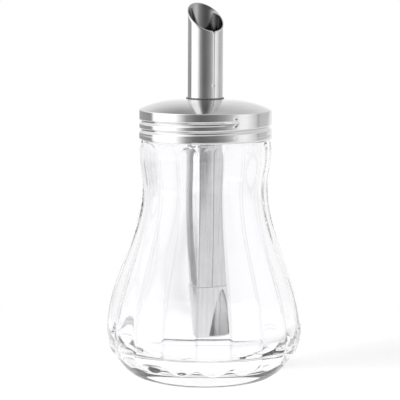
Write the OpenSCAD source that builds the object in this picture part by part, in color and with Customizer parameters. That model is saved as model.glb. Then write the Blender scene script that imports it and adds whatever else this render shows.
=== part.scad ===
// Table sugar dispenser: a ribbed, pear-shaped glass jar closed by a domed steel screw cap.
// One long steel tube passes through the cap: it pours at the top and fills from a small
// portion cup just above the jar's floor. A loose flap inside the tube keeps the sugar dry.
// Millimetres, +Z up, origin under the middle of the foot. The low lip of the mouth faces -Y.

/* [Jar] */
// Diameter of the belly over the ribs
jar_d = 80; // [74:0.5:90]
// Outer diameter of the flat ring that the jar stands on
foot_d = 55.2; // [52:0.2:60]
// Diameter of the plain band above the foot
band_d = 67.2; // [64:0.2:72]
// Diameter of the waist over the ribs
waist_d = 51; // [50:0.2:54]
// Diameter of the shoulder under the cap, over the ribs
shoulder_d = 53.8; // [52.6:0.2:57]
// Diameter of the plain glass neck, at the root of its thread
neck_d = 50.9; // [49:0.1:51.2]
// Height of the plain band above the foot
band_h = 4; // [3:0.5:6]
// Fullness of the foot's round: lower is fuller
foot_power = 0.55; // [0.4:0.05:1]
// Fullness of the curve between the band and the belly: lower is fuller
belly_power = 1.7; // [1.3:0.1:2.2]
// Height of the widest part of the belly
belly_z = 17; // [14:0.5:22]
// Height of the waist
waist_z = 77; // [68:0.5:82]
// Height of the fullest part of the shoulder
shoulder_z = 90; // [86:0.5:91]
// Height at which the shoulder meets the neck
neck_z = 95.6; // [94:0.2:100]
// Height of the neck above the shoulder
neck_h = 11.3; // [10.4:0.1:12.4]
// Thickness of the glass, from the crest of a rib to the inside
glass_wall = 3.2; // [2.4:0.1:3.6]
// Thickness of the glass floor
floor_t = 7; // [4:0.5:9]
// Radius of the flat middle of the floor, inside
floor_r = 13; // [10:1:20]
// Depth of the hollow under the foot
punt_h = 1.2; // [0.6:0.1:2]
// Width of the flat ring that touches the table
foot_ring_w = 3.6; // [2:0.2:6]

/* [Ribs] */
// Number of upright ribs round the jar
ribs = 18; // [12:1:24]
// Depth of the valleys between the ribs
rib_depth = 0.9; // [0.4:0.1:1]
// How fast the ribs get shallower where the jar is narrower, 0 for ribs of one depth
rib_fade = 2; // [0:0.5:3]
// Angle of the first valley from the front
rib_turn = 7; // [0:1:20]
// Height at which the ribs begin
rib_lo_z = 6.6; // [6:0.2:9]
// Height of the round lower end of a rib
rib_lo_arch = 5.4; // [3:0.2:8]
// Height of the round upper end of a rib
rib_hi_arch = 4.6; // [3:0.2:6]
// Distance of the ribs' upper ends below the neck
rib_hi_gap = 0.5; // [0.2:0.1:1]

/* [Screw thread] */
// Rise of the thread in one turn
thread_lead = 3.4; // [3.2:0.1:3.8]
// Height of the glass ridge above the neck
ridge_h = 0.7; // [0.6:0.05:0.8]
// Width of the glass ridge at its root
ridge_w = 2; // [1.6:0.1:2.2]
// Depth of the bead that is rolled into the cap
bead_depth = 0.6; // [0.5:0.05:0.65]
// Width of the rolled bead at its root, on the inside of the cap
bead_w = 2.5; // [2.2:0.1:2.6]
// Distance of the bead's upper end below the edge of the dome
bead_below = 1.9; // [1.5:0.1:2.4]
// Angle at which the bead starts, from the +X side
bead_start = 133; // [0:1:360]
// Play between the crest of the glass ridge and the cap
thread_gap = 0.25; // [0.2:0.01:0.35]

/* [Cap] */
// Thickness of the cap's steel sheet
sheet = 0.5; // [0.4:0.05:0.6]
// Gap between the shoulder of the jar and the edge of the cap
cap_gap = 0.7; // [0.4:0.1:1.5]
// Height of the straight side's upper end above the glass rim
cap_over = 0.6; // [0.4:0.1:1.2]
// Rise of the dome above its edge
dome_rise = 4; // [3.4:0.1:5]
// Fullness of the dome, 2 for a plain bowl shape
dome_power = 4; // [3:0.5:6]
// Radius of the round edge between the dome and the side
edge_r = 0.7; // [0.6:0.05:1]
// How far the rolled hem stands out from the cap's side
hem_out = 0.1; // [0.05:0.05:0.4]
// Height of the rolled hem
hem_h = 1.9; // [1.2:0.1:2.2]

/* [Seal] */
// Width of the seal ring that lies on the glass rim
seal_w = 2.6; // [1.8:0.1:2.8]
// Play between the seal ring and the inside of the dome
seal_gap = 0.15; // [0.1:0.05:0.3]

/* [Spout tube] */
// Outer diameter of the tube
tube_d = 14.3; // [12:0.1:16]
// Wall of the tube
tube_wall = 0.4; // [0.3:0.05:0.6]
// Height of the tube's high lip above the middle of the dome
spout_rise = 37.8; // [30:0.2:50]
// Slope of the cut mouth, from level
mouth_tilt = 38; // [20:1:50]
// Width of the seam that runs down the tube
seam_w = 0.16; // [0.1:0.02:0.3]
// Width of the small notch where the seam meets the mouth
notch_w = 1.3; // [0.8:0.1:2]
// Depth of that notch
notch_h = 0.7; // [0.4:0.1:1.2]
// Height of the upper stake mark above the middle of the dome
stake_rise = 5.5; // [5:0.1:12]
// Radius of a stake mark
stake_r = 0.8; // [0.5:0.1:1]
// Depth of a stake mark
stake_depth = 0.16; // [0.1:0.02:0.24]
// Play between the tube and each piece that is fitted to it
tube_fit = 0.03; // [0.02:0.01:0.06]

/* [Rings on the tube] */
// How far the collar on the dome stands out from the tube
collar_w = 0.55; // [0.4:0.05:1.5]
// Height of the collar
collar_h = 0.35; // [0.3:0.05:1]
// How far the flange of the retaining ring stands out from the tube
retainer_w = 2.6; // [2:0.1:4]
// Thickness of the retaining ring's flange
retainer_t = 0.8; // [0.5:0.1:1.2]
// Height of the retaining ring's hub
retainer_h = 4; // [2:0.5:6]
// Wall of the retaining ring's hub
retainer_wall = 0.7; // [0.5:0.1:1]

/* [Flap] */
// Length of the short sleeve that carries the flap inside the tube
carrier_l = 12; // [8:0.5:16]
// Wall of that sleeve
carrier_wall = 0.4; // [0.3:0.05:0.5]
// Play between the flap's edge and the sleeve
flap_gap = 0.52; // [0.45:0.01:0.7]
// Thickness of the flap
flap_t = 0.5; // [0.4:0.05:0.7]
// Distance of the hinge pin from the middle of the tube
pin_offset = 2; // [1.6:0.1:2.2]
// Diameter of the hinge pin
pin_d = 1; // [0.8:0.1:1.2]
// Play of the flap's rolled eye on the pin, on the radius
pin_play = 0.05; // [0.02:0.01:0.1]
// Wall of the rolled eye
eye_wall = 0.5; // [0.35:0.05:0.7]
// How much shorter the eye is than the flap is wide beside it
eye_short = 1; // [0.6:0.1:2]
// How far the stop stands into the sleeve
stop_in = 1.2; // [1:0.1:1.5]
// Play between the closed flap and its stop
stop_gap = 0.12; // [0.05:0.01:0.2]

/* [Portion cup] */
// Gap between the cup and the jar's floor
cup_gap = 8.2; // [3:0.2:12]
// Length of the cup below the tube
cup_h = 20.7; // [14:0.5:30]
// Diameter of the cup, a little more than the tube's
cup_d = 14.9; // [14.9:0.1:17]
// Length of the spigot that plugs into the tube
spigot_h = 13.4; // [12.6:0.2:18]
// Wall of the cup and its spigot
cup_wall = 0.4; // [0.3:0.05:0.5]
// Thickness of the cup's floor
cup_floor_t = 0.6; // [0.4:0.1:1]
// Width of the window at its foot; it narrows upwards to a pointed arch
window_w = 6.8; // [5:0.2:8]
// Direction of the window, from the +X side
window_turn = -67; // [-120:1:-30]
// Rim of metal left above the window
window_rim = 1.3; // [0.8:0.1:2]
// Height of the lower stake mark above the end of the tube
low_stake_rise = 11.5; // [8:0.5:12]

/* [Hidden] */
// Smoothness of the round faces
$fn = 72;
// A little extra length where one shape is cut from another
cut = 1;
// How far a ridge is rooted in the wall that carries it
root_in = 0.3;
// Heights of the jar and cap, all worked out from the sizes above
rim_z = neck_z + neck_h;
cap_z = neck_z + cap_gap;
edge_z = rim_z + cap_over;
dome_z = edge_z + edge_r + dome_rise;
rib_hi_z = neck_z - rib_hi_gap;
// Radii of the neck and cap
neck_r = neck_d / 2;
ridge_r = neck_r + ridge_h;
cap_in_r = ridge_r + thread_gap;
cap_r = cap_in_r + sheet;
mouth_r = min(neck_r + rib_depth, waist_d / 2) - glass_wall;
// Thread: the glass ridge lies half a lead above the bead of the cap
bead_z = cap_z + hem_h + bead_w / 2;
bead_turns = (edge_z - bead_below - bead_w / 2 - bead_z) / thread_lead;
ridge_z = bead_z + thread_lead / 2;
ridge_turns = (rim_z - root_in - ridge_w / 2 - ridge_z) / thread_lead;
// Widths of the bead's crest, of its groove outside and of the ridge's crest
bead_tip_w = bead_w * 0.56;
groove_w = bead_w * 1.1;
groove_tip_w = bead_w * 0.28;
ridge_tip_w = ridge_w * 0.25;
// Small plays: round the seal, between the retaining ring and the dome, round the pressed pin
seal_play = 0.05;
retainer_gap = 0.1;
pin_hole_play = 0.01;
// The tube, its mouth and its lower end
tube_r = tube_d / 2;
bore_r = tube_r - tube_wall;
top_z = dome_z + spout_rise;
mouth_z = top_z - tube_r * tan(mouth_tilt);
cup_z = floor_t + cup_gap;
tube_z = cup_z + cup_h;
stake_z = dome_z + stake_rise;
low_stake_z = tube_z + low_stake_rise;
// The flap and the sleeve round it
carrier_r = bore_r - tube_fit;
carrier_in_r = carrier_r - carrier_wall;
flap_r = carrier_in_r - flap_gap;
pin_r = pin_d / 2;
eye_r = pin_r + pin_play + eye_wall;
pin_z = stake_z + stake_r + stop_gap + flap_t / 2;
eye_l = 2 * sqrt(flap_r * flap_r - pow(pin_offset + eye_r, 2)) - eye_short;
// Steps round a helix, for one full turn
helix_steps = 48;
// Share of a turn over which a thread fades in and out
fade = 0.08;

// Radius of the outline at the crest of a rib, at height z
function crest_r(z) =
    z < belly_z ? jar_d / 2 - (jar_d - band_d - 2 * rib_depth) / 2
        * pow((belly_z - z) / (belly_z - band_h), belly_power) :
    z < waist_z ? blend(jar_d / 2, waist_d / 2, (z - belly_z) / (waist_z - belly_z)) :
    z < shoulder_z ? blend(waist_d / 2, shoulder_d / 2, (z - waist_z) / (shoulder_z - waist_z)) :
    let (low_r = neck_r + rib_depth / 2)
        low_r + (shoulder_d / 2 - low_r)
        * sqrt(max(0, 1 - pow((z - shoulder_z) / (neck_z - shoulder_z), 2)));

// Smooth change from a to b while t goes from 0 to 1
function blend(a, b, t) = b + (a - b) * (1 + cos(180 * t)) / 2;

// Half width of a rib at height z, as a share of its full half width: both ends are round
function rib_share(z) =
    z <= rib_lo_z || z >= rib_hi_z ? 0 :
    z < rib_lo_z + rib_lo_arch ? sqrt(1 - pow(1 - (z - rib_lo_z) / rib_lo_arch, 2)) :
    z > rib_hi_z - rib_hi_arch ? sqrt(1 - pow(1 - (rib_hi_z - z) / rib_hi_arch, 2)) : 1;

// Depth of the valleys at height z: they are shallower where the jar is narrower
function valley_depth(z) = rib_depth * (z < belly_z ? 1 : pow(crest_r(z) * 2 / jar_d, rib_fade));

// Depth below the crest at height z and at u, which is 0 on a crest and 1 in a valley
function valley(z, u) =
    let (share = rib_share(z))
        valley_depth(z) * (share <= abs(u) ? 1 : pow(abs(u) / share, 2));

// Radius of the jar's outside: the foot and its band are plain, the rest is ribbed
function jar_r(z, u) =
    z <= band_h ? foot_d / 2 + (band_d - foot_d) / 2 * pow(z / band_h, foot_power) :
    crest_r(z) - valley(z, u);

// Heights at which the ribbed outside is measured: closer together where it turns
function steps(a, b, n) = [for (i = [1:n]) a + (b - a) * i / n];
jar_levels = concat([0, 0.6, 1.5, 2.7], [band_h], steps(band_h, rib_lo_z, 1),
    steps(rib_lo_z, rib_lo_z + rib_lo_arch, 4), steps(rib_lo_z + rib_lo_arch, belly_z, 2),
    steps(belly_z, waist_z, 11), steps(waist_z, shoulder_z, 4), steps(shoulder_z, neck_z, 6));

// Points per rib: a crest, two flanks and a valley
rib_points = 4;

// Solid of stacked rings of points, each ring with the same count
module ring_stack(rings) {
    n = len(rings[0]);
    last = len(rings) - 1;
    polyhedron(points = [for (ring = rings) each ring],
        faces = concat(
            [[for (i = [0:n - 1]) i]],
            [for (k = [0:last - 1], i = [0:n - 1]) [k * n + i, (k + 1) * n + i, k * n + (i + 1) % n]],
            [for (k = [0:last - 1], i = [0:n - 1])
                [k * n + (i + 1) % n, (k + 1) * n + i, (k + 1) * n + (i + 1) % n]],
            [[for (i = [n - 1:-1:0]) last * n + i]]));
}

module ribbed_body() {
    n = ribs * rib_points;
    ring_stack([for (z = jar_levels) [for (i = [0:n - 1])
        let (u = 2 * abs((i % rib_points) / rib_points - 0.5),
             a = i * 360 / n - 90 + rib_turn,
             r = jar_r(z, u))
        [r * cos(a), r * sin(a), z]]]);
}

// A ridge with sloping flanks that winds round the Z axis and fades out at both ends.
// The flanks stand root_w apart at root_r and tip_w apart at tip_r.
module helix_ridge(root_r, tip_r, root_w, tip_w, start_z, start_a, turns) {
    n = round(turns * helix_steps);
    ring_stack([for (i = [0:n])
        let (t = i / helix_steps,
             a = start_a + 360 * t,
             z = start_z + thread_lead * t,
             s = max(0.02, min(1, t / fade, (turns - t) / fade)),
             tip = root_r + (tip_r - root_r) * s,
             side = tip_r > root_r ? 1 : -1)
        [for (p = [[root_r, -root_w / 2], [root_r, root_w / 2], [tip, tip_w / 2], [tip, -tip_w / 2]])
            [p[0] * cos(a), p[0] * sin(a), z + p[1] * side]]]);
}

// The jar: thick pressed glass with upright ribs, a plain foot and a threaded neck
module glass_jar() {
    inner_n = 20;
    color([0.92, 0.93, 0.96, 0.35]) difference() {
        union() {
            ribbed_body();
            translate([0, 0, shoulder_z]) cylinder(r = neck_r, h = rim_z - shoulder_z);
            helix_ridge(neck_r - root_in, ridge_r, ridge_w, ridge_tip_w,
                ridge_z, bead_start, ridge_turns);
        }
        // Hollow for the sugar: flat floor, round corner, belly, waist and mouth
        rotate_extrude() polygon(concat(
            [[0, floor_t]],
            [for (i = [0:8]) [floor_r + (inside_r(belly_z) - floor_r) * sin(90 * i / 8),
                belly_z - (belly_z - floor_t) * cos(90 * i / 8)]],
            [for (z = steps(belly_z, waist_z, inner_n)) [inside_r(z), z]],
            [[mouth_r, rim_z + cut], [0, rim_z + cut]]));
        // Shallow hollow under the foot
        translate([0, 0, -cut]) cylinder(r = foot_d / 2 - foot_ring_w, h = cut + punt_h);
    }
}

function inside_r(z) = max(mouth_r, crest_r(z) - glass_wall);

// How far radius r reaches into the dome's round edge, from 0 at its start to 1 at the side
function edge_reach(r) = max(0, min(1, (r - cap_r) / edge_r + 1));

// Height of the outside of the dome at radius r, and the slope there
function dome(r) = dome_z - dome_rise * pow(r / cap_r, dome_power)
    - edge_r * (1 - sqrt(1 - pow(edge_reach(r), 2)));
function dome_slope(r) =
    let (level = sqrt(1 - pow(edge_reach(r), 2)))
        atan2(dome_rise * dome_power / cap_r * pow(r / cap_r, dome_power - 1) * level
            + edge_reach(r), level);

// The cap: one drawn steel sheet with a hole for the tube, a rolled thread and a rolled hem
module cap_shell() {
    hole_r = tube_r + tube_fit;
    n = 24;
    radii = [for (i = [0:n]) hole_r + (cap_r - hole_r) * sin(90 * i / n)];
    hem_r = cap_r + hem_out;
    round_r = (hem_r - cap_in_r) / 2;
    color("silver") difference() {
        union() {
            rotate_extrude() polygon(concat(
                [for (r = radii) [r, dome(r)]],
                [[cap_r, cap_z + hem_h], [hem_r, cap_z + hem_h - hem_out]],
                [for (a = [0:30:180]) [hem_r - round_r + round_r * cos(a),
                    cap_z + round_r - round_r * sin(a)]],
                [[cap_in_r, edge_z - sheet]],
                [for (i = [n - 1:-1:0]) let (r = radii[i], s = dome_slope(r))
                    [min(cap_in_r, r - sheet * sin(s) + sheet * sin(dome_slope(hole_r))),
                        dome(r) - sheet * cos(s)]]));
            helix_ridge(cap_in_r + root_in, cap_in_r - bead_depth, bead_w, bead_tip_w,
                bead_z, bead_start, bead_turns);
        }
        // Groove that the bead leaves outside
        helix_ridge(cap_r + root_in, cap_r - bead_depth, groove_w, groove_tip_w,
            bead_z, bead_start, bead_turns);
    }
}

// The seal: a soft ring that lies loose on the glass rim and fills the space under the dome
module seal_ring() {
    out_r = neck_r - seal_play;
    in_r = out_r - seal_w;
    under = sheet + seal_gap;
    color("white") rotate_extrude() polygon([
        [in_r, rim_z], [out_r, rim_z],
        [out_r, dome(out_r) - under / cos(dome_slope(out_r))],
        [out_r - seal_w / 2, dome(out_r - seal_w / 2) - under / cos(dome_slope(out_r - seal_w / 2))],
        [in_r, dome(in_r) - under / cos(dome_slope(in_r))]]);
}

// The collar: a thin polished ring that holds the tube from above, on the dome
module spout_collar() {
    color("silver") rotate_extrude() polygon([
        [tube_r + tube_fit, dome_z], [tube_r + collar_w, dome_z],
        [tube_r + collar_w, dome_z + collar_h * 0.4],
        [tube_r + collar_w * 0.6, dome_z + collar_h], [tube_r + tube_fit, dome_z + collar_h]]);
}

// The retaining ring: a flanged hub pressed onto the tube under the dome
module retaining_ring() {
    flange_z = dome_z - sheet - retainer_gap - retainer_t;
    color("gainsboro") difference() {
        union() {
            translate([0, 0, flange_z]) cylinder(r = tube_r + retainer_w, h = retainer_t);
            translate([0, 0, flange_z - retainer_h])
                cylinder(r = tube_r + tube_fit + retainer_wall, h = retainer_h + retainer_t / 2);
        }
        translate([0, 0, flange_z - retainer_h - cut])
            cylinder(r = tube_r + tube_fit, h = retainer_h + retainer_t + 2 * cut);
    }
}

// The tube: rolled steel with a seam at the front, cut on a slant at the mouth and staked twice
module spout_tube() {
    color("silver") difference() {
        translate([0, 0, tube_z]) cylinder(r = tube_r, h = top_z - tube_z);
        translate([0, 0, tube_z - cut]) cylinder(r = bore_r, h = top_z - tube_z + 2 * cut);
        // Slanting mouth, low at the front
        translate([0, 0, mouth_z]) rotate([mouth_tilt, 0, 0])
            translate([-tube_d, -2 * tube_d, 0]) cube([2 * tube_d, 4 * tube_d, 2 * tube_d]);
        // Small notch where the seam meets the mouth
        translate([0, -tube_r, mouth_z - tube_r * tan(mouth_tilt) - notch_h]) rotate([90, 0, 0])
            linear_extrude(height = 2, center = true)
                polygon([[0, 0], [notch_w / 2, notch_h * 1.2], [-notch_w / 2, notch_h * 1.2]]);
        // Seam line down the front
        translate([-seam_w / 2, -tube_r - cut, tube_z - cut])
            cube([seam_w, cut + tube_wall / 3, top_z - tube_z]);
        // Stake marks that hold the flap's sleeve and the portion cup
        for (z = [stake_z, low_stake_z])
            translate([0, stake_depth - stake_r - tube_r, z]) sphere(r = stake_r);
    }
}

// The flap's sleeve: sits in the tube at the upper stake, with a stop pressed into its wall
module flap_carrier() {
    color("gainsboro") difference() {
        union() {
            difference() {
                translate([0, 0, stake_z - carrier_l / 2]) cylinder(r = carrier_r, h = carrier_l);
                translate([0, 0, stake_z - carrier_l / 2 - cut])
                    cylinder(r = carrier_in_r, h = carrier_l + 2 * cut);
            }
            // Stop for the closed flap: a round peg along the radius
            translate([0, -carrier_in_r + stop_in, stake_z]) rotate([90, 0, 0])
                cylinder(r = stake_r, h = stop_in + carrier_wall / 2);
        }
        translate([-tube_r, pin_offset, pin_z]) rotate([0, 90, 0])
            cylinder(r = pin_r + pin_hole_play, h = tube_d);
    }
}

// The flap: a round plate, hung off its middle, with an eye rolled round the pin
module flap() {
    color("silver") difference() {
        union() {
            translate([0, 0, pin_z - flap_t / 2]) cylinder(r = flap_r, h = flap_t);
            translate([-eye_l / 2, pin_offset, pin_z]) rotate([0, 90, 0])
                cylinder(r = eye_r, h = eye_l);
        }
        translate([-tube_r, pin_offset, pin_z]) rotate([0, 90, 0])
            cylinder(r = pin_r + pin_play, h = tube_d);
    }
}

// The pin: goes through the sleeve on both sides and is trapped there by the tube
module flap_pin() {
    color("dimgray") intersection() {
        translate([-tube_r, pin_offset, pin_z]) rotate([0, 90, 0]) cylinder(r = pin_r, h = tube_d);
        translate([0, 0, pin_z - pin_d]) cylinder(r = carrier_r, h = 2 * pin_d);
    }
}

// The portion cup: closed below, with a tall window where the sugar runs in
module portion_cup() {
    spigot_r = bore_r - tube_fit;
    window_h = cup_h - cup_floor_t - window_rim;
    window_n = 12;
    color("silver") difference() {
        union() {
            translate([0, 0, cup_z]) cylinder(d = cup_d, h = cup_h);
            translate([0, 0, tube_z - cut]) cylinder(r = spigot_r, h = spigot_h + cut);
        }
        translate([0, 0, cup_z + cup_floor_t])
            cylinder(r = cup_d / 2 - cup_wall, h = cup_h - 2 * cup_floor_t);
        translate([0, 0, tube_z - cup_floor_t - cut])
            cylinder(r = spigot_r - cup_wall, h = cup_floor_t + spigot_h + 2 * cut);
        // The window's outline is a parabola that stands on the cup's floor
        translate([0, 0, cup_z + cup_floor_t]) rotate([0, 0, window_turn]) rotate([90, 0, 90])
            linear_extrude(height = cup_d)
                polygon([for (i = [-window_n:window_n]) let (u = i / window_n)
                    [window_w / 2 * u, window_h * (1 - u * u)]]);
    }
}

glass_jar();
seal_ring();
cap_shell();
spout_collar();
retaining_ring();
spout_tube();
flap_carrier();
flap();
flap_pin();
portion_cup();
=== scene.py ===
import math

import bpy
from mathutils import Matrix, Vector


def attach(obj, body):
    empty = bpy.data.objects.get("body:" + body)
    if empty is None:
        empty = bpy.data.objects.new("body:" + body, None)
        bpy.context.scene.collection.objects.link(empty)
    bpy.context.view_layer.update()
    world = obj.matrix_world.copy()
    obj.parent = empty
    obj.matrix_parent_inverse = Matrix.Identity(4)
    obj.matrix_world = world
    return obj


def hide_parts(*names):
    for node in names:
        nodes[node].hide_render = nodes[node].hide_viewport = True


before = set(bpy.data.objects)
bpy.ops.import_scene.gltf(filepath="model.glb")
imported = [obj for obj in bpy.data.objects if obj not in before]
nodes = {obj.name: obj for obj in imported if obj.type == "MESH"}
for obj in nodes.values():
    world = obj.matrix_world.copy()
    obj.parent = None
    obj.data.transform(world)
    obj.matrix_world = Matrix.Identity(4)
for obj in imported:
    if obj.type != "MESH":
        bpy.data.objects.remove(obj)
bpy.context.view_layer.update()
mm = 0.001

# Camera
# A long lens 0.6 m away, to the left of the tube's seam, looks slightly down on the jar. The roll
# and the small shift are those of the photograph's framing.
camera_degrees = -119.0
camera_turn = math.radians(camera_degrees)
camera_reach, camera_height, aim_height = 600 * mm, 160.8 * mm, 70.8 * mm
camera_roll = math.radians(0.35)
focal_pixels, frame_pixels, sensor_width, frame_shift = 1498.0, 400.0, 36.0, -0.0112
light_bounces = 32
lens_data = bpy.data.cameras.new("camera")
lens_data.sensor_width = sensor_width
lens_data.lens = focal_pixels / frame_pixels * sensor_width
lens_data.shift_x = frame_shift
lens_data.clip_start = 0.01
camera = bpy.data.objects.new("camera", lens_data)
bpy.context.scene.collection.objects.link(camera)
camera_place = Vector((camera_reach * math.cos(camera_turn),
                       camera_reach * math.sin(camera_turn), camera_height))
look = (Vector((0, 0, aim_height)) - camera_place).to_track_quat("-Z", "Y").to_matrix().to_4x4()
camera.matrix_world = Matrix.Translation(camera_place) @ look @ Matrix.Rotation(camera_roll, 4, "Z")
bpy.context.scene.camera = camera
bpy.context.scene.view_settings.view_transform = "Standard"
# The walls of the jar bend and mirror light many times before it comes out
bpy.context.scene.cycles.max_bounces = light_bounces
bpy.context.scene.cycles.transmission_bounces = light_bounces
bpy.context.scene.cycles.glossy_bounces = light_bounces

# Studio
# A small tabletop studio: a white sweep under and behind the jar, a tall white light on the left,
# a narrower one on the right, a dark room in front and a grey ceiling. Steel and glass show it.
mirror_strength, through_strength, fill_strength = 1.6, 1.9, 0.55
room = bpy.data.worlds.new("studio")
bpy.context.scene.world = room
room.use_nodes = True
tree = room.node_tree
tree.nodes.clear()


def math_node(tree, kind, a, b=None, clamp=False):
    """Adds a maths node; a and b are numbers or sockets. Gives its result socket."""
    node = tree.nodes.new("ShaderNodeMath")
    node.operation = kind
    node.use_clamp = clamp
    for i, value in enumerate((a, b)):
        if value is None:
            continue
        if isinstance(value, (int, float)):
            node.inputs[i].default_value = value
        else:
            tree.links.new(value, node.inputs[i])
    return node.outputs[0]


def ramp_node(tree, value, stops):
    """Adds a grey ramp with stops of (place, level). Gives its colour socket."""
    node = tree.nodes.new("ShaderNodeValToRGB")
    points = node.color_ramp.elements
    points[0].position, points[1].position = stops[0][0], stops[-1][0]
    for place, level in stops[1:-1]:
        points.new(place)
    for point, (place, level) in zip(points, stops):
        point.color = (level, level, level, 1)
    tree.links.new(value, node.inputs[0])
    return node.outputs[0]


def give_colour(tree, colour, socket):
    """Gives a socket a plain RGB colour, or links another socket's colour to it."""
    if isinstance(colour, tuple):
        socket.default_value = (*colour, 1)
    else:
        tree.links.new(colour, socket)


def colour_mix(tree, share, low, high):
    """Goes from the low colour to the high one as share goes from 0 to 1. Gives its colour socket."""
    node = tree.nodes.new("ShaderNodeMix")
    node.data_type = "RGBA"
    tree.links.new(share, node.inputs["Factor"])
    give_colour(tree, low, node.inputs["A"])
    give_colour(tree, high, node.inputs["B"])
    return node.outputs["Result"]


ray = tree.nodes.new("ShaderNodeTexCoord").outputs["Generated"]
part = tree.nodes.new("ShaderNodeSeparateXYZ")
tree.links.new(ray, part.inputs[0])
around = math_node(tree, "ARCTAN2", part.outputs[1], part.outputs[0])
# Turned so that 0.5 is the side where the photograph was taken from
turned = math_node(tree, "ADD", math_node(tree, "DIVIDE", around, 2 * math.pi),
                   0.5 - camera_degrees / 360.0)
share = math_node(tree, "FRACT", turned)
climb = math_node(tree, "ARCSINE", part.outputs[2])
height_share = math_node(tree, "ADD", math_node(tree, "DIVIDE", climb, math.pi), 0.5)


def at(degrees):
    """Place on the ramp of a direction, in degrees to the right of the camera's own side."""
    return degrees / 360.0 + 0.5


# What steel and the outside of the glass mirror: the room's tones all round, in steps from the
# camera's side, at four heights from low down to overhead
low_tones = ramp_node(tree, share, [
    (at(-180), 0.82), (at(-158), 0.80), (at(-150), 0.30), (at(-112), 0.24), (at(-104), 0.24),
    (at(-97), 1.0), (at(-54), 1.0), (at(-44), 0.66), (at(-32), 0.27), (at(-17), 0.14),
    (at(-6), 0.11), (at(4), 0.13), (at(18), 0.17), (at(34), 0.27), (at(48), 0.45),
    (at(62), 0.76), (at(74), 0.78), (at(86), 0.64), (at(100), 0.46), (at(103.5), 0.30),
    (at(107), 0.42), (at(146), 0.45), (at(158), 0.80), (at(180), 0.82)])
mid_tones = ramp_node(tree, share, [
    (at(-180), 0.56), (at(-150), 0.60), (at(-100), 1.0), (at(-55), 1.0), (at(-38), 0.45),
    (at(-20), 0.12), (at(20), 0.12), (at(45), 0.35), (at(62), 0.70), (at(100), 0.60),
    (at(150), 0.58), (at(180), 0.56)])
high_tones = ramp_node(tree, share, [
    (at(-180), 0.33), (at(-168), 0.25), (at(-140), 0.26), (at(-100), 1.0), (at(-50), 1.0),
    (at(-35), 0.4), (at(-20), 0.12), (at(20), 0.12), (at(45), 0.35), (at(70), 0.6),
    (at(140), 0.42), (at(168), 0.41), (at(180), 0.33)])
top_tones = ramp_node(tree, share, [
    (at(-180), 0.35), (at(-140), 0.35), (at(-60), 0.60), (at(0), 0.50),
    (at(60), 0.55), (at(140), 0.42), (at(180), 0.35)])


def blend_tones(low, high, low_degrees, high_degrees):
    """Goes from one set of tones to the next between two heights above the horizon."""
    step = ramp_node(tree, height_share, [(low_degrees / 180 + 0.5, 0.0),
                                          (high_degrees / 180 + 0.5, 1.0)])
    return colour_mix(tree, step, low, high)


def background(strength, colour):
    """Light from all round, in one colour or in a socket's tones. Gives its shader socket."""
    node = tree.nodes.new("ShaderNodeBackground")
    node.inputs["Strength"].default_value = strength
    give_colour(tree, colour, node.inputs["Color"])
    return node.outputs[0]


tones = blend_tones(low_tones, mid_tones, -4.0, 18.0)
tones = blend_tones(tones, high_tones, 22.0, 48.0)
tones = blend_tones(tones, top_tones, 58.0, 72.0)
mirrored = background(mirror_strength, tones)

# What glass lets through is the same room with its dark parts lifted by the light inside the glass.
# Rays that fall by 5 to 8 degrees see shallow_tones, rays that fall by 10.5 to 14.5 degrees see
# deep_tones with their narrower white light, and all others see the open paper and walls
shallow_tones = ramp_node(tree, share, [
    (at(-180), 0.53), (at(-135), 0.50), (at(-122), 0.36), (at(-114), 0.26), (at(-97), 0.26),
    (at(-91), 1.0), (at(-50), 1.0), (at(-38), 0.60), (at(-28), 0.25), (at(-6), 0.22),
    (at(4), 0.235), (at(36), 0.26), (at(60), 0.47), (at(98), 0.50), (at(106), 0.44),
    (at(146), 0.48), (at(158), 0.52), (at(180), 0.53)])
deep_tones = ramp_node(tree, share, [
    (at(-180), 0.53), (at(-156), 0.50), (at(-148), 0.26), (at(-76), 0.25), (at(-64), 0.30),
    (at(-58), 1.0), (at(-50), 1.0), (at(-42), 0.30), (at(-6), 0.24), (at(30), 0.25),
    (at(60), 0.44), (at(98), 0.48), (at(106), 0.40), (at(146), 0.46), (at(158), 0.52),
    (at(180), 0.53)])
open_tones = ramp_node(tree, share, [(at(-180), 0.53), (at(0), 0.46), (at(180), 0.53)])
through_tones = blend_tones(deep_tones, shallow_tones, -10.5, -8.0)
through_tones = blend_tones(open_tones, through_tones, -16.0, -14.5)
through_tones = blend_tones(through_tones, open_tones, -5.0, -3.5)
through = background(through_strength, through_tones)

# The camera itself sees plain white, and matt surfaces get an even fill
backdrop = background(1.0, (1, 1, 1))
fill = background(fill_strength, (0.8, 0.8, 0.8))
path = tree.nodes.new("ShaderNodeLightPath")


def either(tree, factor, low, high):
    """Mixes two shaders: the low one where the factor is 0, the high one where it is 1."""
    node = tree.nodes.new("ShaderNodeMixShader")
    tree.links.new(factor, node.inputs[0])
    tree.links.new(low, node.inputs[1])
    tree.links.new(high, node.inputs[2])
    return node.outputs[0]


world_out = tree.nodes.new("ShaderNodeOutputWorld")
light = either(tree, path.outputs["Is Glossy Ray"], fill, mirrored)
light = either(tree, path.outputs["Is Transmission Ray"], light, through)
light = either(tree, path.outputs["Is Camera Ray"], light, backdrop)
tree.links.new(light, world_out.inputs["Surface"])

# Table
# White paper that ends half a metre in front of the jar and a hand's width left of it. It takes the
# jar's shadow close by, and further out it goes over into plain white, where no shadow falls.
front, left, right, behind = 0.50, 0.16, 0.70, 4.0
paper_gap = 0.0002
paper_colour, paper_glow = (0.82, 0.82, 0.82), 0.42
shadow_r, white_r = 0.10, 0.15


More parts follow.
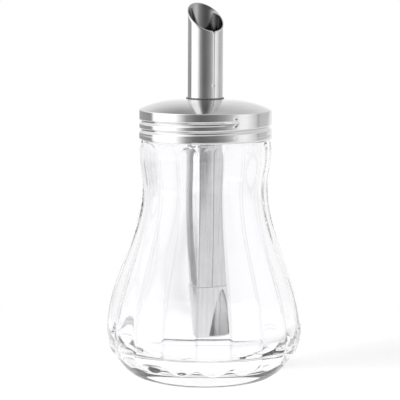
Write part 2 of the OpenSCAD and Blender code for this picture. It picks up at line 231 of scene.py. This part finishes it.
def ranged(tree, value, span, target=(0.0, 1.0), kind="LINEAR"):
    """Brings a value from one span to another; beyond the span it stays at the nearer end."""
    node = tree.nodes.new("ShaderNodeMapRange")
    node.interpolation_type = kind
    for name, number in zip(("From Min", "From Max", "To Min", "To Max"), (*span, *target)):
        node.inputs[name].default_value = number
    tree.links.new(value, node.inputs["Value"])
    return node.outputs[0]


floor_mesh = bpy.data.meshes.new("floor")
floor_mesh.from_pydata([(front, -left, 0), (front, right, 0),
                        (-behind, right, 0), (-behind, -left, 0)], [], [(0, 1, 2, 3)])
floor = bpy.data.objects.new("floor", floor_mesh)
bpy.context.scene.collection.objects.link(floor)
floor.location.z = -paper_gap
floor.rotation_euler.z = camera_turn
paper = bpy.data.materials.new("white_paper")
paper.use_nodes = True
tree = paper.node_tree
tree.nodes.clear()
matt = tree.nodes.new("ShaderNodeBsdfDiffuse")
matt.inputs["Color"].default_value = (*paper_colour, 1)
lift = tree.nodes.new("ShaderNodeEmission")
path = tree.nodes.new("ShaderNodeLightPath")
seen_ray = path.outputs["Is Camera Ray"]
for kind in ("Is Transmission Ray", "Is Glossy Ray"):
    seen_ray = math_node(tree, "MAXIMUM", seen_ray, path.outputs[kind])
tree.links.new(math_node(tree, "MULTIPLY", seen_ray, paper_glow), lift.inputs["Strength"])
both = tree.nodes.new("ShaderNodeAddShader")
tree.links.new(matt.outputs[0], both.inputs[0])
tree.links.new(lift.outputs[0], both.inputs[1])
far = tree.nodes.new("ShaderNodeEmission")
away = tree.nodes.new("ShaderNodeVectorMath")
away.operation = "LENGTH"
tree.links.new(tree.nodes.new("ShaderNodeTexCoord").outputs["Object"], away.inputs[0])
edge = ranged(tree, away.outputs["Value"], (shadow_r, white_r), kind="SMOOTHSTEP")
white_share = math_node(tree, "MULTIPLY", edge, seen_ray)
surface = either(tree, white_share, both.outputs[0], far.outputs[0])
tree.links.new(surface, tree.nodes.new("ShaderNodeOutputMaterial").inputs[0])
floor_mesh.materials.append(paper)

# Lamps
# Two large soft lamps on stands, one high up on the left and a weaker one on the right. They light
# what is matt, and they aren't seen in the steel or the glass.


def soft_light(name, place, aim, width, height, power):
    """Lamp at a place, turned to its aim, with its size in metres and its power in watts."""
    data = bpy.data.lights.new(name, "AREA")
    data.shape = "RECTANGLE"
    data.size, data.size_y, data.energy = width, height, power
    lamp = bpy.data.objects.new(name, data)
    bpy.context.scene.collection.objects.link(lamp)
    lamp.location = place
    lamp.rotation_euler = (Vector(aim) - Vector(place)).to_track_quat("-Z", "Y").to_euler()
    lamp.visible_glossy = False
    lamp.visible_camera = False
    lamp.visible_transmission = False


lamp_aim = (0, 0, 0.05)
soft_light("light_left", (-0.85, 0.15, 0.80), lamp_aim, 0.5, 0.6, 7.0)
soft_light("light_right", (0.7, -0.65, 0.75), lamp_aim, 0.5, 0.5, 2.0)

# Glass jar
# Clear glass, pressed in a mould: a thick floor, a pear-shaped body with upright ribs that are
# round at both ends, and a plain neck with a raised thread. Made in one piece, edges fire-polished.
rib_count, rib_depth, rib_turn = 18, 0.8, 7.0
band_h, belly_z, waist_z, shoulder_z, neck_z, rim_z = 4.0, 17.0, 77.0, 90.0, 95.6, 106.9
foot_r, band_r, belly_r, waist_r, shoulder_r, neck_r = 27.6, 33.6, 39.92, 25.5, 26.9, 25.45
rib_lo_z, rib_lo_arch, rib_hi_z, rib_hi_arch = 6.6, 5.4, 95.1, 4.6
# How slowly the band over the foot and the two ends of a rib swell out; 1 is a straight slope
band_power, rib_lo_power, rib_hi_power = 0.55, 0.8, 0.25
# The crease between two ribs: where it starts and how wide it is, in shares of half a rib, and how
# much of its depth is left after rounding
crease_from, crease_width, crease_depth = 0.9, 0.1, 0.5
glass_wall, floor_t, floor_r, punt_h, punt_r = 3.2, 7.0, 13.0, 0.6, 25.5
# The inside rounds in below bowl_z and meets the flat floor
bowl_z, bowl_power = 24.0, 3
mouth_r, rim_round = waist_r - glass_wall, 0.5
# The ridge on the neck winds half a lead above the bead inside the cap and ends rim_gap below the rim
thread_lead, thread_start, bead_z = 3.4, 133.0, 99.45
ridge_z, ridge_h, ridge_half, ridge_fade = bead_z + thread_lead / 2, 0.7, 1.0, 0.1
rim_gap = 0.3
ridge_turns = (rim_z - rim_gap - ridge_half - ridge_z) / thread_lead
rib_columns = 28
jar_columns = rib_count * rib_columns
first_crease = math.radians(-90 + rib_turn)


def eased(a, b, t):
    """Goes from a to b as t goes from 0 to 1, level at both ends."""
    return b + (a - b) * (1 + math.cos(math.pi * t)) / 2


def crest(z):
    """Radius of the jar over the crest of a rib, at height z."""
    if z < belly_z:
        return belly_r - (belly_r - band_r - rib_depth) * ((belly_z - z) / (belly_z - band_h)) ** 2
    if z < waist_z:
        return eased(belly_r, waist_r, (z - belly_z) / (waist_z - belly_z))
    if z < shoulder_z:
        return eased(waist_r, shoulder_r, (z - waist_z) / (shoulder_z - waist_z))
    low = neck_r + rib_depth / 2
    turn = (z - shoulder_z) / (neck_z - shoulder_z)
    return low + (shoulder_r - low) * math.sqrt(max(0, 1 - turn ** 2))


def rib_share(z):
    """Half width of a rib at height z, as a share of its full half width."""
    if z <= rib_lo_z or z >= rib_hi_z:
        return 0.0
    if z < rib_lo_z + rib_lo_arch:
        return math.sqrt(1 - (1 - (z - rib_lo_z) / rib_lo_arch) ** 2)
    if z > rib_hi_z - rib_hi_arch:
        return math.sqrt(1 - (1 - (rib_hi_z - z) / rib_hi_arch) ** 2)
    return 1.0


def outside(z, across):
    """Radius of the jar at height z; across is 0 on a rib's crest and 1 in the valley."""
    if z <= band_h:
        return foot_r + (band_r - foot_r) * (z / band_h) ** band_power
    width = rib_share(z)
    valley, shallow = 1.0, 1.0
    if across < width:
        end_power = rib_lo_power if z < belly_z else rib_hi_power
        valley = 1.0 - width ** end_power * (1.0 - (across / width) ** 2)
    if z >= belly_z:
        shallow = (crest(z) / belly_r) ** 2
    return crest(z) - rib_depth * shallow * valley


def inside(z):
    """Radius of the jar's inside, from the rim down to where the bowl starts."""
    return max(mouth_r, crest(z) - glass_wall)


def ridge_shape(away):
    """Cross section of a soft ridge: 1 on its middle line, 0 from its edge on."""
    return eased(1.0, 0.0, min(1.0, away))


def helix_bump(z, degrees, start_z, turns, half_width, fade, shape):
    """How far a thread stands out at height z in one direction; its ends fade over part of a turn."""
    best = 0.0
    t = ((degrees - thread_start) % 360.0) / 360.0
    while t <= turns:
        away = abs(z - start_z - thread_lead * t) / half_width
        best = max(best, min(1.0, t / fade, (turns - t) / fade) * shape(away))
        t += 1.0
    return best


def spread(a, b, count):
    """Even steps from a towards b, without b itself."""
    return [a + (b - a) * i / count for i in range(count)]


def slowing(a, b, count):
    """Steps from a to b that grow shorter towards b."""
    return [a + (b - a) * math.sin(math.pi / 2 * i / count) for i in range(count + 1)]


def turned_mesh(name, rings, columns, looped=False):
    """Piece made of rings of points, each a list of (radius, height) or one pair for all columns.

    Looped, its last ring joins the first; otherwise its two ends are closed in the middle.
    """
    points, faces = [], []
    for ring in rings:
        for i in range(columns):
            radius, z = ring[i] if isinstance(ring, list) else ring
            a = 2 * math.pi * i / columns
            points.append((radius * math.cos(a) * mm, radius * math.sin(a) * mm, z * mm))
    for k in range(len(rings) if looped else len(rings) - 1):
        low, high = k * columns, (k + 1) % len(rings) * columns
        for i in range(columns):
            j = (i + 1) % columns
            faces.append((low + i, low + j, high + j, high + i))
    if not looped:
        last, middle = (len(rings) - 1) * columns, len(points)
        points += [(0, 0, rings[0][1] * mm), (0, 0, rings[-1][1] * mm)]
        faces += [(middle, (i + 1) % columns, i) for i in range(columns)]
        faces += [(middle + 1, last + i, last + (i + 1) % columns) for i in range(columns)]
    mesh = bpy.data.meshes.new(name)
    mesh.from_pydata(points, [], faces)
    mesh.validate()
    mesh.polygons.foreach_set("use_smooth", [True] * len(mesh.polygons))
    mesh.update()
    piece = bpy.data.objects.new(name, mesh)
    bpy.context.scene.collection.objects.link(piece)
    return piece


def creased(across):
    """Rounds the crease between two ribs, so that it isn't quite sharp."""
    if across < crease_from:
        return across
    step = (across - crease_from) / crease_width
    return crease_from + crease_depth * (1 - (1 - step) ** 2) * crease_width


def ribbed_ring(z):
    """Ring of the jar's ribbed outside at height z."""
    ring = []
    for i in range(jar_columns):
        a = 2 * math.pi * i / jar_columns - first_crease
        place = (a / (2 * math.pi) * rib_count) % 1.0
        ring.append((outside(z, creased(2 * abs(place - 0.5))), z))
    return ring


def neck_ring(z):
    """Ring of the neck with its ridge at height z."""
    ring = []
    for i in range(jar_columns):
        ridge = helix_bump(z, 360.0 * i / jar_columns, ridge_z, ridge_turns,
                           ridge_half, ridge_fade, ridge_shape)
        ring.append((neck_r + ridge_h * ridge, z))
    return ring


# Rings lie closer together where the outline turns quickly: at the foot and at both ends of a rib
foot_edge = ((-0.6, 0.0), (-0.15, 0.03))
foot_heights = (0.1, 0.25, 0.5, 0.9, 1.4, 2.0, 2.7, 3.4)
band_heights = (4.05, 4.6, 5.2, 5.8, 6.3)
rib_lo_rings, rib_hi_rings, body_from, body_to = 26, 24, 12.6, 90.4
neck_fillet = ((0.35, -0.25), (0.12, 0.0), (0.02, 0.3))
quarter_turn = [math.radians(d) for d in (0, 22, 45, 67, 90)]
rings = [(r, eased(punt_h, 0.0, r / punt_r)) for r in spread(0.8, punt_r, 24)]
rings += [(punt_r, 0.0)]
rings += [(foot_r + out, up) for out, up in foot_edge]
rings += [(outside(z, 1), z) for z in foot_heights]
rings += [ribbed_ring(z) for z in band_heights]
rings += [ribbed_ring(rib_lo_z + rib_lo_arch * (i / rib_lo_rings) ** 2)
          for i in range(1, rib_lo_rings + 1)]
rings += [ribbed_ring(z) for z in spread(body_from, body_to, 104)]
rings += [ribbed_ring(rib_hi_z - rib_hi_arch * (i / rib_hi_rings) ** 2)
          for i in range(rib_hi_rings, 0, -1)]
rings += [(neck_r + out, neck_z + up) for out, up in neck_fillet]
rings += [neck_ring(z) for z in spread(neck_z + 0.6, rim_z - rim_round, 48)]
rings += [(neck_r - rim_round + rim_round * math.cos(a), rim_z - rim_round + rim_round * math.sin(a))
          for a in quarter_turn]
rings += [(mouth_r + rim_round - rim_round * math.sin(a),
           rim_z - rim_round + rim_round * math.cos(a)) for a in quarter_turn]
rings += [(inside(z), z) for z in spread(rim_z - 2 * rim_round, bowl_z, 100)]
for z in slowing(bowl_z, floor_t, 40):
    drop = (bowl_z - z) / (bowl_z - floor_t)
    side_r = crest(max(z, belly_z)) - glass_wall
    rings.append((floor_r + (side_r - floor_r) * math.sqrt(max(0.0, 1 - drop ** bowl_power)), z))
rings += [(r, floor_t) for r in spread(floor_r - 1.5, 0.0, 10)]
jar = turned_mesh("clear_jar", rings, jar_columns)


def new_group(name, inputs, outputs):
    """An empty node group with its named sockets; inputs are given with their plain values."""
    group = bpy.data.node_groups.new(name, "ShaderNodeTree")
    for title, value in inputs.items():
        kind = "NodeSocketVector" if isinstance(value, tuple) else "NodeSocketFloat"
        group.interface.new_socket(title, in_out="INPUT", socket_type=kind).default_value = value
    for title in outputs:
        group.interface.new_socket(title, in_out="OUTPUT", socket_type="NodeSocketFloat")
    return group


def slight_noise_group():
    """Faint unevenness for glass and steel: a value from 0 to 1 and a height for a bump."""
    group = new_group("slight_unevenness", {"Size": 60.0, "Stretch": (1, 1, 1)}, ("Mask", "Height"))
    into = group.nodes.new("NodeGroupInput")
    out = group.nodes.new("NodeGroupOutput")
    scaled = group.nodes.new("ShaderNodeVectorMath")
    scaled.operation = "MULTIPLY"
    group.links.new(group.nodes.new("ShaderNodeTexCoord").outputs["Object"], scaled.inputs[0])
    group.links.new(into.outputs["Stretch"], scaled.inputs[1])
    broad = group.nodes.new("ShaderNodeTexNoise")
    broad.inputs["Detail"].default_value = 3.0
    group.links.new(into.outputs["Size"], broad.inputs["Scale"])
    group.links.new(scaled.outputs[0], broad.inputs["Vector"])
    group.links.new(ranged(group, broad.outputs["Fac"], (0.35, 0.65)), out.inputs["Mask"])
    group.links.new(broad.outputs["Fac"], out.inputs["Height"])
    return group


unevenness = slight_noise_group()


def place_group(tree, group, **values):
    """Places a node group in a material and sets its inputs."""
    node = tree.nodes.new("ShaderNodeGroup")
    node.node_tree = group
    for name, value in values.items():
        node.inputs[name].default_value = value
    return node


def bump_from(tree, height, distance):
    """Normal of a surface that is raised by a height of 0 to 1, times a distance in metres."""
    node = tree.nodes.new("ShaderNodeBump")
    node.inputs["Strength"].default_value = 1.0
    node.inputs["Distance"].default_value = distance
    tree.links.new(height, node.inputs["Height"])
    return node.outputs[0]


def object_place(tree):
    """Place on the piece in metres, as sockets for X, Y and Z."""
    split = tree.nodes.new("ShaderNodeSeparateXYZ")
    tree.links.new(tree.nodes.new("ShaderNodeTexCoord").outputs["Object"], split.inputs[0])
    return split.outputs


def valley_shade_group():
    """Mask of painted shade: 1 along the line between two ribs, 0 elsewhere, fading out towards the
    foot and the neck.
    """
    line_power = 60.0
    foot_fade, neck_fade = (0.010, 0.016), (0.094, 0.088)
    group = new_group("rib_valleys", {}, ("Mask",))
    out = group.nodes.new("NodeGroupOutput")
    place = object_place(group)
    angle = math_node(group, "ARCTAN2", place[1], place[0])
    turned = math_node(group, "SUBTRACT", angle, first_crease)
    wave = math_node(group, "COSINE", math_node(group, "MULTIPLY", turned, rib_count))
    near = math_node(group, "ADD", math_node(group, "MULTIPLY", wave, 0.5), 0.5)
    line = math_node(group, "POWER", near, line_power)
    for span in (foot_fade, neck_fade):
        line = math_node(group, "MULTIPLY", line, ranged(group, place[2], span))
    group.links.new(line, out.inputs["Mask"])
    return group


def new_finish(name):
    """A new material. Gives it with its node tree and its Principled BSDF."""
    material = bpy.data.materials.new(name)
    material.use_nodes = True
    return material, material.node_tree, material.node_tree.nodes["Principled BSDF"]


glass, tree, skin = new_finish("clear_glass")
skin.inputs["Transmission Weight"].default_value = 1.0
skin.inputs["IOR"].default_value = 1.42
skin.inputs["Metallic"].default_value = 0.0
ripple = place_group(tree, unevenness, Size=55.0, Stretch=(1, 1, 0.35))
valley_shade = place_group(tree, valley_shade_group())
clear = colour_mix(tree, ripple.outputs["Mask"], (0.984, 0.982, 0.992), (0.993, 0.992, 0.999))
# Painted shade: the glass is tinted grey along the creases between the ribs
glass_with_valley_shade = colour_mix(tree, valley_shade.outputs["Mask"], clear, (0.80, 0.80, 0.815))
tree.links.new(glass_with_valley_shade, skin.inputs["Base Color"])
tree.links.new(ranged(tree, ripple.outputs["Mask"], (0.0, 1.0), (0.0, 0.015)),
               skin.inputs["Roughness"])
tree.links.new(bump_from(tree, ripple.outputs["Height"], 0.03 * mm), skin.inputs["Normal"])
jar.data.materials.append(glass)
# Clear glass lets the light through, so the jar itself throws no dark shadow
jar.visible_shadow = False
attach(jar, "jar")
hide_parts("glass_jar")

# Seal
# A soft white ring, moulded in one piece. It lies loose on the rim of the glass and fills the space
# under the dome.
seal_material, tree, skin = new_finish("soft_seal")
grain = place_group(tree, unevenness, Size=900.0, Stretch=(1, 1, 1))
tree.links.new(colour_mix(tree, grain.outputs["Mask"], (0.78, 0.78, 0.76), (0.86, 0.86, 0.84)),
               skin.inputs["Base Color"])
tree.links.new(ranged(tree, grain.outputs["Mask"], (0.0, 1.0), (0.5, 0.65)),
               skin.inputs["Roughness"])
tree.links.new(bump_from(tree, grain.outputs["Height"], 0.05 * mm), skin.inputs["Normal"])


def dress(name, material):
    """Gives a piece of the solid model its finish."""
    nodes[name].data.materials.clear()
    nodes[name].data.materials.append(material)


dress("seal_ring", seal_material)

# Cap
# One round of polished stainless sheet, drawn to a low dome with a straight side. The thread is
# rolled into the side, so it shows as a groove outside and a bead inside, and the edge is hemmed.
sheet, hole_r = 0.5, 7.18
cap_z, edge_z, dome_z, dome_rise, dome_power, edge_r = 96.3, 107.5, 112.2, 4.4, 3.2, 0.3
cap_in_r = 26.4
cap_r = cap_in_r + sheet
hem_out, hem_h = 0.1, 1.9
# Groove and bead are the two sides of one rolled thread, which ends bead_stop below the cap's edge
groove_depth, groove_half = 0.75, 1.0
bead_depth, bead_half, bead_fade, bead_stop = 0.6, 1.25, 0.04, 2.1
bead_turns = (edge_z - bead_stop - bead_half - bead_z) / thread_lead
# Towards its rim the dome is stretched thinner, which leaves the seal its room
thin_from, thin_over, seal_room = 14.0, 8.0, 0.34
# Three small tool marks beside the thread's end, with the height of each and how far it leans
mark_turn, mark_deep, mark_spread = 267.0, 0.4, 0.2
mark_spots = ((106.1, 0.0), (103.2, -0.6), (98.0, 0.0))
cap_columns = 720


def channel_shape(away):
    """Cross section of a thread that is rolled into sheet: a channel with a narrow round bottom."""
    wall_end, wall_reach, wall_fall, bottom_round = 0.9, 0.905, 0.810, 0.009
    lip_end, lip_width, lip_share = 1.1, 0.2, 0.1
    if away < wall_end:
        curve = math.sqrt(away * away + bottom_round)
        return lip_share + (1 - lip_share) * (wall_reach - curve) / wall_fall
    return lip_share * ((lip_end - away) / lip_width) ** 2 if away < lip_end else 0.0


def edge_reach(r):
    """How far a radius reaches into the round edge of the dome: 0 at its start, 1 at the side."""
    return max(0.0, min(1.0, (r - cap_r) / edge_r + 1))


def dome(r):
    """Height of the dome's top side over a radius."""
    return (dome_z - dome_rise * (r / cap_r) ** dome_power
            - edge_r * (1 - math.sqrt(1 - edge_reach(r) ** 2)))


def dome_slope(r):
    """How steeply the dome falls at a radius, as an angle."""
    level = math.sqrt(1 - edge_reach(r) ** 2)
    plain = dome_rise * dome_power / cap_r * (r / cap_r) ** (dome_power - 1)
    return math.atan2(plain * level + edge_reach(r), level)


def mark_depth(z, degrees):
    """Depth of the three tool marks at height z in one direction."""
    across = math.radians((degrees - mark_turn + 180.0) % 360.0 - 180.0) * cap_r
    return sum(mark_deep * math.exp(-((across + lean * (z - height)) ** 2 + (z - height) ** 2)
                                    / mark_spread) for height, lean in mark_spots)


def side_ring(z, base, depth, half_width, shape):
    """Ring of the cap's side at height z, with the thread pressed in by a depth."""
    return [(base - depth * helix_bump(z, 360.0 * i / cap_columns, bead_z, bead_turns,
                                       half_width, bead_fade, shape), z)
            for i in range(cap_columns)]


# From the hole's edge over the dome and down the side, round the hem, and back up inside to the hole
radii = slowing(hole_r, cap_r - edge_r, 50) + slowing(cap_r - edge_r, cap_r, 12)[1:]
hole_edge = ((0.0, -0.2), (0.12, -0.04))
hem_edge = ((0.0, 0.05), (0.02, -0.05), (0.07, -0.25), (0.1, -0.5))
hem_round = (cap_r + hem_out - cap_in_r) / 2
inner_edge_z = edge_z - 0.6
rings = [(hole_r + out, dome_z + up) for out, up in hole_edge]
rings += [(r, dome(r)) for r in radii[1:]]
for z in spread(edge_z - 0.15, cap_z + hem_h + 0.1, 110):
    ring = side_ring(z, cap_r, groove_depth, groove_half, channel_shape)
    rings.append([(r - mark_depth(z, 360.0 * i / cap_columns), z) for i, (r, z) in enumerate(ring)])
rings += [(cap_r + out, cap_z + hem_h + up) for out, up in hem_edge]
rings += [(cap_in_r + hem_round + hem_round * math.cos(a), cap_z + hem_round - hem_round * math.sin(a))
          for a in [math.radians(d) for d in range(0, 181, 20)]]
rings += [side_ring(z, cap_in_r, bead_depth, bead_half, ridge_shape)
          for z in spread(cap_z + 0.5, inner_edge_z, 60)]
rings += [(cap_in_r, inner_edge_z)]
for r in reversed(radii):
    slope = dome_slope(r)
    thick = sheet - seal_room * min(1.0, max(0.0, (r - thin_from) / thin_over))
    inward = thick * (math.sin(slope) - math.sin(dome_slope(hole_r)))
    rings.append((min(cap_in_r, r - inward), dome(r) - thick * math.cos(slope)))
cap = turned_mesh("steel_cap", rings, cap_columns, looped=True)
cap.data.flip_normals()


def axis_distance(tree, place):
    """Distance from the Z axis, from the sockets of a place."""
    squares = [math_node(tree, "MULTIPLY", place[i], place[i]) for i in (0, 1)]
    return math_node(tree, "SQRT", math_node(tree, "ADD", *squares))


def vector_of(tree, *parts):
    """A vector from three sockets."""
    node = tree.nodes.new("ShaderNodeCombineXYZ")
    for part, socket in zip(parts, node.inputs):
        tree.links.new(part, socket)
    return node.outputs[0]


def lines_group():
    """Fine lines round the Z axis or along it, as polishing leaves them: mask and height."""
    drift, along = 1.5, 60.0
    group = new_group("polish_lines", {"Around": 1.0, "Fineness": 3000.0}, ("Mask", "Height"))
    into = group.nodes.new("NodeGroupInput")
    out = group.nodes.new("NodeGroupOutput")
    fineness = into.outputs["Fineness"]
    place = object_place(group)
    angle = math_node(group, "ARCTAN2", place[1], place[0])
    # Lines round the axis change with radius and height; lines along it change with the angle
    ring_way = vector_of(group,
                         math_node(group, "MULTIPLY", axis_distance(group, place), fineness),
                         math_node(group, "MULTIPLY", place[2], fineness),
                         math_node(group, "MULTIPLY", math_node(group, "COSINE", angle), drift))
    long_way = vector_of(group,
                         math_node(group, "MULTIPLY", place[0], fineness),
                         math_node(group, "MULTIPLY", place[1], fineness),
                         math_node(group, "MULTIPLY", place[2], along))
    pick = group.nodes.new("ShaderNodeMix")
    pick.data_type = "VECTOR"
    group.links.new(into.outputs["Around"], pick.inputs["Factor"])
    group.links.new(long_way, pick.inputs["A"])
    group.links.new(ring_way, pick.inputs["B"])
    noise = group.nodes.new("ShaderNodeTexNoise")
    noise.inputs["Scale"].default_value = 1.0
    noise.inputs["Detail"].default_value = 4.0
    group.links.new(pick.outputs["Result"], noise.inputs["Vector"])
    group.links.new(ranged(group, noise.outputs["Fac"], (0.3, 0.7)), out.inputs["Mask"])
    group.links.new(noise.outputs["Fac"], out.inputs["Height"])
    return group


polish_lines = lines_group()


def steel(name, dark, bright, rough, around, fineness, depth):
    """Stainless steel with polishing lines of a depth in metres, and faint handling marks."""
    line_share, mark_share = 0.65, 0.35
    material, tree, skin = new_finish(name)
    skin.inputs["Metallic"].default_value = 1.0
    lines = place_group(tree, polish_lines, Around=around, Fineness=fineness)
    marks = place_group(tree, unevenness, Size=140.0, Stretch=(1, 1, 1))
    blend = math_node(tree, "ADD", math_node(tree, "MULTIPLY", lines.outputs["Mask"], line_share),
                      math_node(tree, "MULTIPLY", marks.outputs["Mask"], mark_share))
    tree.links.new(colour_mix(tree, blend, dark, bright), skin.inputs["Base Color"])
    tree.links.new(ranged(tree, blend, (0.0, 1.0), rough), skin.inputs["Roughness"])
    tree.links.new(bump_from(tree, lines.outputs["Height"], depth), skin.inputs["Normal"])
    return material


polished_steel = steel("polished_steel", dark=(0.66, 0.66, 0.665), bright=(0.74, 0.74, 0.745),
                       rough=(0.07, 0.13), around=1.0, fineness=2600.0, depth=0.006 * mm)
cap.data.materials.append(polished_steel)
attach(cap, "cap")
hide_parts("cap_shell")

# Pouring tube
# Stainless strip rolled to a tube, its butt seam at the front. The mouth is cut on a slant and
# deburred, with a small notch at the seam, and two stakes on the seam hold what is inside it.
tube_r, bore_r = 7.15, 6.75
tube_z, slant_z, top_z = 35.9, 134.0, 150.0
tilt = math.tan(math.radians(38.0))
mouth_z = top_z - tube_r * tilt
seam_depth, seam_width = 0.08, 0.14
stake_heights, stake_depth, stake_width = (117.7, 47.4), 0.12, 0.6
notch_depth, notch_half = 0.7, 0.65
# How much each edge of the mouth and of the lower end is broken, across the wall and along it
mouth_out, mouth_in = (0.09, 0.09), (0.06, 0.07)
end_out, end_in = (0.08, 0.12), (0.06, 0.1)
tube_columns = 240
tube_angles = [2 * math.pi * i / tube_columns for i in range(tube_columns)]


def from_seam(a):
    """Distance round the tube's outside from its seam to the direction a."""
    return abs((a + math.pi / 2 + math.pi) % (2 * math.pi) - math.pi) * tube_r


def pressed_in(ring):
    """Ring of the tube's outside, pressed in along the seam and at the stakes."""
    pressed = []
    for a, (radius, z) in zip(tube_angles, ring):
        across = from_seam(a)
        radius -= seam_depth * math.exp(-(across / seam_width) ** 2)
        for stake in stake_heights:
            radius -= stake_depth * math.exp(-(math.hypot(across, z - stake) / stake_width) ** 2)
        pressed.append((radius, z))
    return pressed


def mouth_height(a, radius):
    """Height of the slanting mouth in the direction a; the notch at the seam dips below it."""
    notch = notch_depth * max(0.0, 1 - from_seam(a) / notch_half)
    return mouth_z + radius * math.sin(a) * tilt - notch


def slant_ring(radius, rise, drop=0.0):
    """Ring on the way from level (rise 0) to the slant of the mouth (rise 1), less a drop."""
    return [(radius, slant_z + (mouth_height(a, radius) - drop - slant_z) * rise)
            for a in tube_angles]


# Up the outside, over the mouth and back down the bore, with rings close together at the stakes
level_spans = ((tube_z + 0.5, 45.6, 8), (45.6, 49.4, 24), (49.4, 115.8, 22),
               (115.8, 119.6, 24), (119.6, slant_z, 12))
levels = [tube_z + end_out[1]] + [z for span in level_spans for z in spread(*span)]
rises = spread(0.0, 1.0, 10) + [1.0]
rings = [(bore_r + end_in[0], tube_z), (tube_r - end_out[0], tube_z)]
rings += [pressed_in([(tube_r, z)] * tube_columns) for z in levels]
rings += [pressed_in(slant_ring(tube_r, rise, mouth_out[1])) for rise in rises]
rings += [slant_ring(tube_r - mouth_out[0], 1.0), slant_ring(bore_r + mouth_in[0], 1.0)]
rings += [slant_ring(bore_r, rise, mouth_in[1]) for rise in reversed(rises)]
rings += [(bore_r, z) for z in reversed(spread(tube_z + end_in[1], slant_z - 1.0, 30))]
tube = turned_mesh("pouring_tube", rings, tube_columns, looped=True)


def overpaint(material, mask, colour):
    """Lays a colour over a finish, as far as the mask goes from 0 to 1."""
    tree = material.node_tree
    base = tree.nodes["Principled BSDF"].inputs["Base Color"]
    tree.links.new(colour_mix(tree, mask, base.links[0].from_socket, colour), base)


tube_steel = steel("tube_steel", dark=(0.60, 0.60, 0.605), bright=(0.72, 0.72, 0.725),
                   rough=(0.08, 0.16), around=0.0, fineness=1700.0, depth=0.008 * mm)
# The seam shows as a fine dark line at the front. The inside, which is all that lies nearer to the
# axis than bore_side, is painted dark as painted shade inside the tube
line_half, bore_side = 0.16 * mm, 6.9 * mm
line_dark, bore_shade = 0.75, 0.55
tree = tube_steel.node_tree
place = object_place(tree)
off_line = math_node(tree, "DIVIDE", math_node(tree, "ABSOLUTE", place[0]), line_half, clamp=True)
line = math_node(tree, "MULTIPLY", math_node(tree, "SUBTRACT", 1.0, off_line),
                 math_node(tree, "LESS_THAN", place[1], 0.0))
bore = math_node(tree, "LESS_THAN", axis_distance(tree, place), bore_side)
# Painted shade over the bore; the seam line keeps the seam's own dark colour
dark = math_node(tree, "MAXIMUM", math_node(tree, "MULTIPLY", line, line_dark),
                 math_node(tree, "MULTIPLY", bore, bore_shade))
overpaint(tube_steel, dark, (0.12, 0.12, 0.12))
tube.data.materials.append(tube_steel)
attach(tube, "cap")
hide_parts("spout_tube")

# Collar and retaining ring
# A thin steel ring round the tube on top of the dome, painted dark for the shade at the tube's foot,
# and a flanged steel hub pressed on under the dome. With the dome between them, they hold the tube in
# the cap.
# Painted shade: the collar's steel is painted nearly black, for the shade in the gap at the tube's
# foot
collar_shade_steel = steel("collar_shade_steel", dark=(0.16, 0.16, 0.16), bright=(0.26, 0.26, 0.26),
                     rough=(0.2, 0.3), around=1.0, fineness=2000.0, depth=0.01 * mm)
inner_steel = steel("inner_steel", dark=(0.50, 0.50, 0.505), bright=(0.62, 0.62, 0.62),
                    rough=(0.2, 0.32), around=1.0, fineness=1800.0, depth=0.012 * mm)
dress("spout_collar", collar_shade_steel)
dress("retaining_ring", inner_steel)

# Flap
# A small gravity flap of plain steel inside the tube, behind the upper stake. It swings on a pin,
# and a carrier that is pushed into the bore holds the pin.
for name in ("flap_carrier", "flap", "flap_pin"):
    dress(name, inner_steel)

# Portion cup
# A drawn steel cup that plugs into the tube's lower end. An arched window lets the sugar in, and
# its inside is painted near white, a painted reflection of the light that comes in through the window.
cup_steel = steel("cup_steel", dark=(0.66, 0.66, 0.665), bright=(0.76, 0.76, 0.765),
                  rough=(0.10, 0.18), around=0.0, fineness=1500.0, depth=0.01 * mm)
# Painted reflection: its inside, all that lies nearer to the axis than the middle of its wall, is
# painted near white
cup_side = 7.25 * mm
tree = cup_steel.node_tree
from_axis = axis_distance(tree, object_place(tree))
overpaint(cup_steel, math_node(tree, "LESS_THAN", from_axis, cup_side), (0.95, 0.95, 0.95))
dress("portion_cup", cup_steel)
